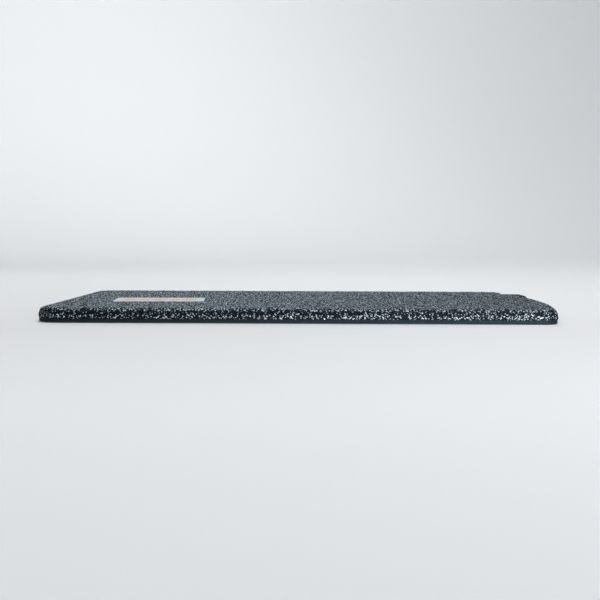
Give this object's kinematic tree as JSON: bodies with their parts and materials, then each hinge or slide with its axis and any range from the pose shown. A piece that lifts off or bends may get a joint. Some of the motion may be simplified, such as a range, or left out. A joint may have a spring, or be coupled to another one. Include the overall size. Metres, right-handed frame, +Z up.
{
  "type": "slant board",
  "caption": "Thin folding slant board: grit-coated steel deck with an arched toe end and nested fold-out stands for different slopes.",
  "frame": {"origin": "on the floor, under the middle of the rubber edge strip's heel end, the line that the board tilts on", "axes": "+X along the deck from the straight heel end to the arched toe end, +Y across it towards the carry strap's side, +Z up"},
  "size_m": [0.4301, 0.3174, 0.0118],
  "materials": {
    "deck_coat": "coarse anti-slip grit coat, dark slate grey",
    "edge_rubber": "smooth black rubber",
    "label_foil": "brushed silver foil",
    "black_paint": "fine-texture black powder coat",
    "stand_paint": "satin black powder coat",
    "bright_steel": "bright drawn steel",
    "zinc_steel": "bright zinc plate",
    "nickel": "nickel plate",
    "nylon": "natural nylon",
    "foot_rubber": "matt black rubber",
    "webbing": "black woven webbing"
  },
  "bodies": {
    "deck": {"deck_plate": "deck_coat", "edge_strip": "edge_rubber", "label_plate": "label_foil", "inner_rail_front": "black_paint", "inner_rail_rear": "black_paint", "middle_rail_front": "black_paint", "middle_rail_rear": "black_paint", "outer_rail_front": "black_paint", "outer_rail_rear": "black_paint", "side_rail_front": "black_paint", "side_rail_rear": "black_paint", "heel_rib_1": "black_paint", "heel_rib_2": "black_paint", "pivot_rod": "bright_steel", "rod_caps": "bright_steel", "hinge_washers": "nylon", "low_stand_magnets": "nickel", "middle_stand_magnets": "nickel", "high_stand_magnets": "nickel", "carry_strap": "webbing", "strap_clamp": "zinc_steel", "strap_studs": "zinc_steel", "strap_nuts": "zinc_steel"},
    "low_prop": {"low_stand": "stand_paint", "low_stand_foot": "foot_rubber"},
    "middle_prop": {"middle_stand": "stand_paint", "middle_stand_foot": "foot_rubber"},
    "high_prop": {"high_stand": "stand_paint", "high_stand_foot": "foot_rubber"}
  },
  "joints": [
    {"name": "low_stand_hinge", "type": "hinge", "parent": "deck", "child": "low_prop", "pos_m": [0.35825, 0, 0.005], "axis": [0, -1, 0], "range_deg": [0, 100]},
    {"name": "middle_stand_hinge", "type": "hinge", "parent": "deck", "child": "middle_prop", "pos_m": [0.35825, 0, 0.005], "axis": [0, -1, 0], "range_deg": [0, 100]},
    {"name": "high_stand_hinge", "type": "hinge", "parent": "deck", "child": "high_prop", "pos_m": [0.35825, 0, 0.005], "axis": [0, -1, 0], "range_deg": [0, 100]}
  ]
}
